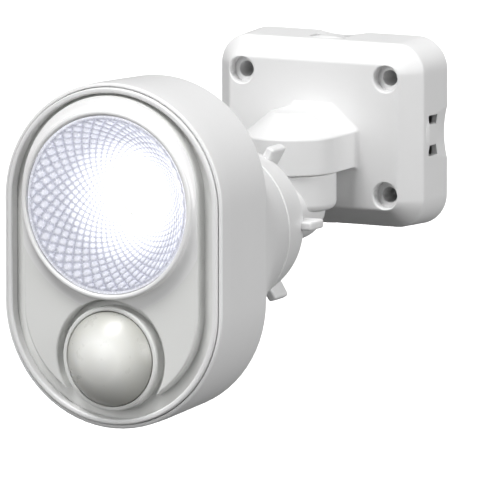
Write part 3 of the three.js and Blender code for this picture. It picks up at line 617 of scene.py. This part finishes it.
def base_housing():
    body = swept(rounded(BASE_PROFILE), base_outline)
    hollow = swept([(3.0, -1), (3.9, 20.4), (12.2, 27.0)], base_outline)
    steps = [("DIFFERENCE", hollow)]
    for x, y in HOLES:
        steps.append(("UNION", common(cylinder(8.2, 2.8, BASE_D - 0.6, x, y),
                                      swept([(0.5, 2), (1.4, 20.8), (9.4, 29.6)], base_outline))))
    steps.append(("UNION", hood_form()))
    for degrees, half in ((0, BASE_W / 2), (180, BASE_W / 2), (90, BASE_H / 2), (270, BASE_H / 2)):
        for operation, tool in zip(("UNION", "DIFFERENCE", "DIFFERENCE", "UNION"), knockout(half)):
            steps.append((operation, moved(tool, turn_z(degrees))))
    steps.append(("DIFFERENCE", hood_form(3.0, BASE_D - 5, 0.0)))
    pocket = turned_upright([(13.3, HOOD_BOTTOM - 1), (13.3, HOOD_BOTTOM + 5)], z=SWIVEL_Z)
    steps.append(("DIFFERENCE", pocket))
    for x, y in HOLES:
        steps.append(("DIFFERENCE", cylinder(HOLE_THROUGH_R, 0, BASE_D, x, y)))
        steps.append(("DIFFERENCE", flared_hole(HOLE_STEP_R, HOLE_STEP_Z, HOLE_FLOOR, 0.35, x, y)))
        steps.append(("DIFFERENCE", flared_hole(HOLE_R, HOLE_FLOOR, BASE_D, 0.8, x, y)))
    combined(body, *steps)
    return finished(body, "wall_base_shell", "wall_base", ["base_housing"], "shell_white")


def screw(name, body, node_name, head_r, shank_r, head_low, head_high, tip, x, y, place=None):
    """A pan-head screw along z, seen from below, with a cross recess and a turned shank."""
    span = head_high - head_low
    head = turned(rounded([(0, head_low, 0), (head_r, head_low, span * 0.6), (head_r, head_high, 0.1),
                           (shank_r, head_high, 0), (shank_r, tip, 0.3), (0, tip, 0)]), segments=32)
    arm = head_r * 0.62
    for low, high in (((-arm, -0.32), (arm, 0.32)), ((-0.32, -arm), (0.32, arm))):
        block = rounded_block((*low, head_low - 1), (*high, head_low + span * 0.62), 0)
        head = cut(head, block)
    moved(head, Matrix.Translation((x, y, 0)))
    return finished(head, name, body, [node_name], "screw_zinc", place=place, weighted=False)


def back_plate():
    inset = 5.6
    low, high = facing_box("back_plate")
    thick = high[2] - low[2]
    profile = rounded([(9, 0, 0), (inset, 0, 0.5), (inset, thick, 0.5), (9, thick, 0)])
    body = swept(profile, base_outline)
    tools = [cylinder(HOLE_THROUGH_R, -1, thick + 1, x, y) for x, y in HOLES]
    for i in range(4):
        x, y, _ = facing_centre(f"plate_screw_{i + 1}")
        tools += [cylinder(2.9, -1, 1.5, x, y, 32), cylinder(1.7, 0, thick + 1, x, y, 32)]
    tools.append(cylinder(7, -1, thick + 1, 0, 25))
    for x in range(-24, 25, 8):
        tools.append(rounded_block((x - 1.6, -20, -1), (x + 1.6, 13, 0.6), 0.4))
    body = cut(body, *tools)
    return finished(body, "wall_base_back", "wall_base", ["back_plate"], "plate_plastic")


def base_gasket():
    profile = rounded([(3.3, 0, 0.6), (5.3, 0, 0.6), (5.3, 2, 0.6), (3.3, 2, 0.6)], closed=True)
    body = swept(profile, base_outline, closed=True)
    return finished(body, "wall_seal", "wall_base", ["base_gasket"], "seal_rubber")


def plate_screws():
    for i in range(4):
        name = f"plate_screw_{i + 1}"
        x, y, _ = facing_centre(name)
        screw(f"base_screw_{i + 1}", "wall_base", name, 2.6, 1.4, 0.3, 1.2, 6.5, x, y)


# ------------------------------------------------------------------------- arm

def arm():
    """An upright stub with a spigot on it, a round heel, and a neck that narrows to the ball."""
    spigot_r, neck_end = 9.6, ARM_LENGTH - 10
    post = turned_upright(rounded([
        (0, STUB_BOTTOM, 0), (STUB_R, STUB_BOTTOM, 3.2), (STUB_R, STUB_TOP, 0.7),
        (spigot_r, STUB_TOP, 0), (spigot_r, 0, 0.5), (0, 0, 0)]), z=SWIVEL_Z)
    heel = ellipsoid((0, NECK_Y, SWIVEL_Z), (NECK_HEEL_R,) * 3, 64)
    neck = turned(rounded([
        (0, 0, 0), (NECK_HEEL_R, 0, 0), (13.8, ARM_LENGTH * 0.35, 12),
        (NECK_END_R, ARM_LENGTH * 0.6, 10), (NECK_END_R, neck_end, 0), (0, neck_end, 0)],
        steps=8), y=NECK_Y, z=SWIVEL_Z)
    bore = turned([(NECK_BORE_R, -1), (NECK_BORE_R, ARM_LENGTH)], y=NECK_Y, z=SWIVEL_Z, segments=32)
    drop = turned_upright([(NECK_BORE_R, NECK_Y), (NECK_BORE_R, 1)], z=SWIVEL_Z, segments=32)
    body = combined(post, ("UNION", heel), ("UNION", neck), ("DIFFERENCE", bore), ("DIFFERENCE", drop))
    return finished(body, "swivel_arm", "arm", ["arm_elbow"], "shell_white")


def ball():
    profile = [(BALL_R * math.sin(a), BALL_R * math.cos(a)) for a in np.linspace(math.pi, 0, 49)]
    body = turned(profile, y=NECK_Y, z=BALL_Z)
    pocket = cylinder(NECK_END_R + GAP, BALL_Z - BALL_R - 1, BALL_Z - 9.7, y=NECK_Y)
    bore = cylinder(NECK_BORE_R, BALL_Z - 11, BALL_Z + BALL_R + 1, y=NECK_Y)
    return finished(cut(body, pocket, bore), "joint_ball", "arm", ["ball_end"], "ball_plastic")


# ------------------------------------------------------------------------ head

def head_profile(inset):
    """(half width, z, straight) from the rear face to the front rim."""
    shoulder = -SIDE_D - 1.5
    rear = REAR_Z + (3.5 if inset else 0.0)
    rows = []
    for i in range(19):
        z = rear + (shoulder - rear) * i / 18
        t = (z - REAR_Z) / (shoulder - REAR_Z)
        half = REAR_R + (SHOULDER_HALF - REAR_R) * math.sin(1.2 * t) / math.sin(1.2)
        rows.append((half - inset, z, STRAIGHT * t ** 4))
    side = [(SHOULDER_HALF - inset, shoulder, 0), (49.4 - inset, shoulder + 0.15, 1.0),
            (51.0 - inset, -8, 6)]
    side += [(51.0 - inset, 5, 0)] if inset else [(51.0, 0, 1.1), (48.0, 0, 0)]
    rows += [(half, z, STRAIGHT) for half, z in rounded(side)[1:]]
    return rows


def head_form(inset=0.0):
    return skin([at(capsule(half, straight), z) for half, z, straight in head_profile(inset)])


def capsule_band(inner, outer, low, high):
    return swept([(inner, low), (outer, low), (outer, high), (inner, high)], capsule, closed=True)


def upright_cylinder(radius, low, high, x, z, segments=48):
    return turned_upright([(radius, low), (radius, high)], x=x, z=z, segments=segments)


def socket():
    """The collar and cup round the ball, and the hollow inside them."""
    outer_r = BALL_R + 7.2
    cup = [(outer_r * math.sin(a), outer_r * math.cos(a)) for a in np.linspace(math.pi / 2, 0, 25)]
    collar_r, collar_top = 28, 10
    dome = [point for point in cup if point[1] > collar_top + 0.1]
    solid_part = turned([(0, -3.9), (collar_r, -3.9), (collar_r, collar_top),
                         (outer_r, collar_top + 0.01), *dome], z=-HEAD_FROM_BALL)
    inner_r = BALL_R + 4.3
    bowl = [(inner_r * math.sin(a), inner_r * math.cos(a)) for a in np.linspace(math.pi / 2, 0, 33)]
    hollow = turned([(0, -8), (inner_r, -8), *bowl], z=-HEAD_FROM_BALL)
    passage = cylinder(12, -HEAD_FROM_BALL, -HEAD_FROM_BALL + inner_r + 6)
    return solid_part, hollow, passage


def head_shell():
    body = head_form()
    cup, hollow, passage = socket()
    pocket_block = common(rounded_block((-21.5, -80, -32.5), (21.5, POCKET_ROOF + 2.5, -11), 0),
                          head_form(0.4))
    steps = [("DIFFERENCE", head_form(SHELL_T)),
             ("UNION", capsule_band(45.5, 50, LEDGE_TOP - 2.8, LEDGE_TOP)),
             ("UNION", pocket_block), ("UNION", cup)]
    for x, y in PILLARS:
        steps.append(("UNION", common(cylinder(4.6, -SIDE_D - 6, LEDGE_TOP - 1, x, y), head_form(0.4))))
    recess = swept([(FRONT_RECESS, LEDGE_TOP), (FRONT_RECESS, -0.35), (FRONT_RECESS + 0.35, 0.01),
                    (FRONT_RECESS + 0.35, 4)], capsule)
    steps += [("DIFFERENCE", recess), ("DIFFERENCE", hollow), ("DIFFERENCE", passage)]
    for x, y in PILLARS:
        steps.append(("DIFFERENCE", cylinder(1.8, -60, 0, x, y, 32)))
        steps.append(("DIFFERENCE", cylinder(3.2, -70, -37.8, x, y, 48)))
    steps.append(("DIFFERENCE", rounded_block((-19, -90, -30), (19, POCKET_ROOF, -14), 1.5, 4)))
    for x in (-DIAL_X, DIAL_X):
        shaft_hole = upright_cylinder(2.2, POCKET_ROOF - 1, POCKET_ROOF + 4, x, DIAL_Z, 32)
        steps.append(("DIFFERENCE", shaft_hole))
    combined(body, *steps)
    return finished(body, "head_shell", "head", ["head_housing"], "shell_white", place=HEAD_PLACE)


def front_bezel():
    profile = rounded([(BEZEL_IN, FLOOR_Z + GAP, 0), (BEZEL_OUT, FLOOR_Z + GAP, 0),
                       (BEZEL_OUT, BEZEL_TOP, 0.8), (BEZEL_IN, BEZEL_TOP, 0.8)], closed=True)
    body = swept(profile, capsule, closed=True)
    return finished(body, "front_bezel_ring", "head", ["front_bezel"], "shell_white", place=HEAD_PLACE)


def plateau_outline(half):
    """The raised part of the panel: like the capsule, but reaching further up."""
    turn = np.linspace(0, math.pi, 37)
    arc = np.stack([half * np.cos(turn), half * np.sin(turn)], 1)
    return np.concatenate([arc + (0, PLATEAU_TOP_Y), -arc - (0, STRAIGHT / 2)])


def front_panel():
    rear = FLOOR_Z - PANEL_T
    plate = swept([(FRONT_RECESS - GAP, rear), (FRONT_RECESS - GAP, FLOOR_Z)], capsule)
    plateau = swept(rounded([(PLATEAU_HALF + 0.3, FLOOR_Z - 1, 0), (PLATEAU_HALF, PLATEAU_Z, 0.9),
                             (PLATEAU_HALF - 4, PLATEAU_Z, 0)]), plateau_outline)
    plateau = cut(plateau, flared_hole(PIR_TROUGH_R, -20, PLATEAU_Z, 1.0, y=PIR_Y, segments=96))
    collar = turned(rounded([(0, rear, 0), (COLLAR_R, rear, 0), (COLLAR_R, PIR_BASE_Z, 0.7),
                             (0, PIR_BASE_Z, 0)]), y=PIR_Y)
    body = combined(
        plate, ("UNION", plateau), ("UNION", collar),
        ("DIFFERENCE", cylinder(LAMP_R + GAP, -20, 20, y=LAMP_Y, segments=128)),
        ("DIFFERENCE", flared_hole(PIR_R + GAP, -20, PIR_BASE_Z, 0.5, y=PIR_Y, segments=96)))
    return finished(body, "front_panel_plate", "head", ["front_panel"], "panel_grey", place=HEAD_PLACE)


def lamp_ring():
    """A barrel through the panel, and a hollow-curved skirt on the plateau round it."""
    inner, rear = LAMP_R - LAMP_LIP, FLOOR_Z - PANEL_T
    seat, edge, reach = PLATEAU_Z - 0.2, PLATEAU_Z + 0.03, SKIRT_R - LAMP_R
    rise = LAMP_FRONT - 1.0 - edge
    skirt = [(LAMP_R + reach * (1 - math.sin(a)), edge + rise * (1 - math.cos(a)))
             for a in np.linspace(0, math.pi / 2, 17)]
    lip = rounded([skirt[-2] + (0,), (LAMP_R, LAMP_FRONT, 0.9), (inner, LAMP_FRONT, 0.9),
                   (inner, rear, 0)])
    profile = [(inner, rear), (LAMP_R, rear), (LAMP_R, seat), (SKIRT_R, seat), *skirt, *lip[1:-1]]
    body = turned(profile, closed=True, y=LAMP_Y, segments=128)
    outline = plateau_outline(PLATEAU_HALF - 0.1)
    limit = skin([at(outline, rear - 1), at(outline, LAMP_FRONT + 1)])
    trough = cylinder(PIR_TROUGH_R, seat - 0.1, LAMP_FRONT + 1, y=PIR_Y, segments=96)
    body = combined(body, ("INTERSECT", limit), ("DIFFERENCE", trough))
    return finished(body, "lamp_ring_trim", "head", ["lamp_ring"], "ring_white", place=HEAD_PLACE)


def lamp_lens():
    edge = LAMP_R - LAMP_LIP - GAP
    profile = rounded([(0, LENS_BACK_Z, 0), (edge, LENS_BACK_Z, 0.2), (edge, LENS_FRONT_Z, 0.3),
                       (0, LENS_FRONT_Z, 0)])
    body = turned(profile, y=LAMP_Y, segments=128)
    return finished(body, "lamp_window", "head", ["lamp_lens"], "clear_lens", place=HEAD_PLACE)


FACETS, FACET_ROWS, FACET_CELLS = 40, 28, 3
BOWL_RIM_Z, BOWL_T = 4.7, 1.2
RIM_R = LAMP_R - LAMP_LIP - GAP - BOWL_T


def bowl_z(radius):
    """Depth of the reflector bowl at a radius."""
    share = (radius ** 2 - APERTURE_R ** 2) / (RIM_R ** 2 - APERTURE_R ** 2)
    return APERTURE_Z + (BOWL_RIM_Z - APERTURE_Z) * max(share, 0.0)


def reflector():
    """A bowl of pillowed diamond facets in alternating rows, with a plain back."""
    cells = FACET_CELLS
    columns, rows = FACETS * 2 * cells, FACET_ROWS * cells
    points, heights = [], []
    for row in range(rows + 1):
        radius = APERTURE_R * (RIM_R / APERTURE_R) ** (row / rows)
        slope = math.atan2(2 * radius * (BOWL_RIM_Z - APERTURE_Z), RIM_R ** 2 - APERTURE_R ** 2)
        size = TAU * radius / FACETS
        for column in range(columns):
            up, along = row / (2 * cells), column / (2 * cells)
            a, b = (up + along) % 1, (up - along) % 1
            height = 16 * a * (1 - a) * b * (1 - b)
            if row in (0, rows):
                height = 0.0
            lift = height * size * 0.1
            r = radius - lift * math.sin(slope)
            z = bowl_z(radius) + lift * math.cos(slope)
            turn = TAU * column / columns
            points.append((r * math.cos(turn), LAMP_Y + r * math.sin(turn), z))
            heights.append(height)
    faces = []
    for row in range(rows):
        for column in range(columns):
            p = row * columns + column
            q = row * columns + (column + 1) % columns
            r, s = q + columns, p + columns
            faces += [(p, q, r), (p, r, s)] if (row + column) % 2 == 0 else [(p, q, s), (q, r, s)]
    back = []
    for k in range(9):
        radius = RIM_R + (APERTURE_R - RIM_R) * k / 8
        back.append((radius + BOWL_T, bowl_z(radius)))
    start = len(points)
    for radius, z in back:
        for column in range(columns):
            turn = TAU * column / columns
            points.append((radius * math.cos(turn), LAMP_Y + radius * math.sin(turn), z))
            heights.append(1.0)
    rings = [rows * columns] + [start + k * columns for k in range(len(back))] + [0]
    for a, b in zip(rings, rings[1:]):
        for i in range(columns):
            j = (i + 1) % columns
            faces.append((a + i, a + j, b + j, b + i))
    mesh = bpy.data.meshes.new("reflector")
    mesh.from_pydata(points, [], faces)
    # The facet heights also mask the painted shade on the lines between facets in the reflector's material.
    facet = mesh.attributes.new("facet", "FLOAT", "POINT")
    facet.data.foreach_set("value", heights)
    body = bpy.data.objects.new("reflector", mesh)
    bpy.context.scene.collection.objects.link(body)
    bm = bmesh.new()
    bm.from_mesh(mesh)
    bmesh.ops.recalc_face_normals(bm, faces=bm.faces)
    bm.to_mesh(mesh)
    bm.free()
    return finished(body, "lamp_reflector", "head", ["reflector"], "reflector_metal", sharp=14,
                    place=HEAD_PLACE, weighted=False)


def led_parts():
    top = APERTURE_Z - GAP
    ring = rounded([(HOLDER_IN_R, LED_BACK_Z, 0), (HOLDER_OUT_R, LED_BACK_Z, 0),
                    (HOLDER_OUT_R, top, 0.6), (HOLDER_IN_R, top, 0.5)], closed=True)
    holder = turned(ring, closed=True, y=LAMP_Y)
    finished(holder, "led_clamp", "head", ["led_holder"], "led_ceramic", place=HEAD_PLACE)
    chip = turned(rounded([(0, LED_BACK_Z, 0), (LED_R, LED_BACK_Z, 0), (LED_R, LED_FRONT_Z, 0.4),
                           (0, LED_FRONT_Z, 0)]), y=LAMP_Y)
    finished(chip, "led_phosphor", "head", ["led_chip"], "led_glow", place=HEAD_PLACE)


def sensor_dome():
    sphere_r = (PIR_R ** 2 + PIR_CAP ** 2) / (2 * PIR_CAP)
    centre = PIR_BASE_Z + PIR_CAP - sphere_r
    wall, flange = 1.2, FLOOR_Z - PANEL_T - GAP
    edge = math.asin(PIR_R / sphere_r)
    inner_edge = math.asin((PIR_R - wall) / (sphere_r - wall))

    def cap(radius, start, end):
        return [(radius * math.sin(a), centre + radius * math.cos(a))
                for a in np.linspace(start, end, 33)]

    profile = [(PIR_R - wall, flange - 1.7), (PIR_R + 2.6, flange - 1.7), (PIR_R + 2.6, flange),
               (PIR_R, flange), *cap(sphere_r, edge, 0), *cap(sphere_r - wall, 0, inner_edge)]
    body = turned(profile, closed=True, y=PIR_Y, segments=128)
    return finished(body, "sensor_dome", "head", ["pir_lens"], "pir_ivory", place=HEAD_PLACE)


def cover_screws():
    for i in range(4):
        name = f"cover_screw_{i + 1}"
        x, y, _ = facing_centre(name)
        screw(f"head_screw_{i + 1}", "head", name, 2.8, 1.4, -40.4, -38.1, FLOOR_Z - PANEL_T + 1.6,
              x, y - NECK_Y, HEAD_PLACE)


def lock_ring():
    lip = [((BALL_R + GAP) * math.sin(a), (BALL_R + GAP) * math.cos(a))
           for a in np.radians(np.linspace(112, 102, 5))]
    outside = rounded([(28.5, 11.8, 0.3), (36.7, 11.8, 0.9), (31.8, -11, 1.6), (24.5, -11, 0)])
    profile = [*outside, *lip, (28.5, -4.3)]
    body = turned(profile, closed=True, z=-HEAD_FROM_BALL, segments=128)
    lugs = []
    for i in range(LUG_COUNT):
        lug = rounded_block((27.0, -2.0, -18.5), (37.6, 2.0, -6.0), 1.2, 4)
        turn = turn_z(LUG_TURN + i * 360 / LUG_COUNT)
        lugs.append(moved(lug, turn @ Matrix.Translation((0, 0, -HEAD_FROM_BALL))))
    return finished(joined(body, *lugs), "clamp_ring", "lock_ring", ["lock_ring"], "shell_white",
                    place=HEAD_PLACE)


def dial(name, body_name, node_name, x):
    """A knob with a fluted edge, a rounded grip bar and a shaft."""
    turn = np.arange(160) * TAU / 160
    flute = 1 - 0.035 * (0.5 + 0.5 * np.cos(20 * turn)) ** 2
    rings = []
    for radius, y in rounded([(0, -69.8, 0), (DIAL_R, -69.8, 0.5), (DIAL_R, POCKET_ROOF - GAP, 0.3),
                              (0, POCKET_ROOF - GAP, 0)]):
        reach = radius * (flute if radius > DIAL_R * 0.85 else 1)
        rings.append(np.column_stack([x + reach * np.cos(turn), np.full(160, y),
                                      DIAL_Z + reach * np.sin(turn)]))
    bar = rounded_block((x - 0.9, -70.9, DIAL_Z - 4.2), (x + 0.9, -69.5, DIAL_Z + 4.2), 0.35)
    shaft = upright_cylinder(1.8, -68, POCKET_ROOF + 4.4, x, DIAL_Z)
    knob = joined(skin(rings), bar, shaft)
    return finished(knob, name, body_name, [node_name], "dial_grey", place=HEAD_PLACE)


# ------------------------------------------------------------------ everything

base_housing()
back_plate()
base_gasket()
plate_screws()
arm()
ball()
head_shell()
front_bezel()
front_panel()
lamp_ring()
lamp_lens()
reflector()
led_parts()
sensor_dome()
cover_screws()
lock_ring()
dial("time_knob", "time_dial", "time_dial", -DIAL_X)
dial("light_knob", "light_dial", "light_dial", DIAL_X)

for entry in RECORD["subparts"]:
    cad_object = NODES[entry["node"]]
    for material_slot in cad_object.material_slots:
        material_slot.material = MATERIALS[entry["material_slot"]]


# ------------------------------------------------------------------------ stage

def floor():
    bm = bmesh.new()
    bmesh.ops.create_grid(bm, x_segments=1, y_segments=1, size=FLOOR_SIZE)
    bmesh.ops.translate(bm, vec=(0, 0, FLOOR_HEIGHT), verts=bm.verts)
    sheet = made(bm, "studio_floor")
    tree, shader = new_material("floor_paint")
    tone = blended(tree, noise(tree, 3), (0.94, 0.94, 0.94), (0.96, 0.96, 0.96))
    tree.links.new(tone, shader.inputs["Base Color"])
    tree.links.new(tone, shader.inputs["Emission Color"])
    shader.inputs["Emission Strength"].default_value = 0.35
    shader.inputs["Roughness"].default_value = 0.9
    shader.inputs["Specular IOR Level"].default_value = 0.0
    sheet.data.materials.append(MATERIALS["floor_paint"])
    sheet.visible_diffuse = False
    sheet.visible_glossy = False


def backdrop():
    """A pale shell round the studio, seen only by the camera, so no light is lost to it."""
    shell = ellipsoid((0, 0, 0), (BACKDROP_R,) * 3, 64)
    shell.name = shell.data.name = "studio_backdrop"
    tree, shader = new_material("backdrop_paint")
    tone = blended(tree, noise(tree, 0.5), (0.97, 0.97, 0.97), (1.0, 1.0, 1.0))
    tree.links.new(tone, shader.inputs["Emission Color"])
    shader.inputs["Base Color"].default_value = (0, 0, 0, 1)
    shader.inputs["Specular IOR Level"].default_value = 0.0
    shader.inputs["Emission Strength"].default_value = 1.0
    shell.data.materials.append(MATERIALS["backdrop_paint"])
    shell.visible_diffuse = shell.visible_glossy = shell.visible_shadow = False


def sun(name, direction, strength, spread):
    """A broad soft light that shines from a direction."""
    data = bpy.data.lights.new(name, "SUN")
    data.energy = strength
    data.angle = math.radians(spread)
    lamp = bpy.data.objects.new(name, data)
    lamp.rotation_mode = "QUATERNION"
    lamp.rotation_quaternion = Vector(direction).to_track_quat("Z", "Y")
    bpy.context.scene.collection.objects.link(lamp)


def surroundings(strength):
    world = bpy.data.worlds.new("studio")
    world.use_nodes = True
    background = world.node_tree.nodes["Background"]
    background.inputs["Color"].default_value = (1, 1, 1, 1)
    background.inputs["Strength"].default_value = strength
    bpy.context.scene.world = world


def camera():
    data = bpy.data.cameras.new("camera")
    data.type = "PERSP"
    data.sensor_width = SENSOR
    data.lens = LENS
    data.clip_start, data.clip_end = 0.1, 100
    piece = bpy.data.objects.new("camera", data)
    azimuth, elevation = math.radians(AZIMUTH), math.radians(ELEVATION)
    back = Vector((math.sin(azimuth) * math.cos(elevation), -math.cos(azimuth) * math.cos(elevation),
                   math.sin(elevation)))
    centre = (CAD_LOW + CAD_HIGH) / 2
    aim = Vector((0, centre.y + AIM_BACK, centre.z - AIM_DOWN))
    piece.location = aim + back * DISTANCE
    piece.rotation_mode = "QUATERNION"
    piece.rotation_quaternion = (-back).to_track_quat("-Z", "Y")
    bpy.context.scene.collection.objects.link(piece)
    bpy.context.scene.camera = piece


camera()
floor()
backdrop()
surroundings(0.13)
sun("key_above", (-0.1, -0.42, 0.9), 2.9, 30)
sun("front", (-0.35, -1.0, 0.25), 0.95, 36)
sun("fill_right", (1.0, -0.05, 0.22), 2.0, 40)
bpy.context.scene.view_settings.view_transform = "Standard"
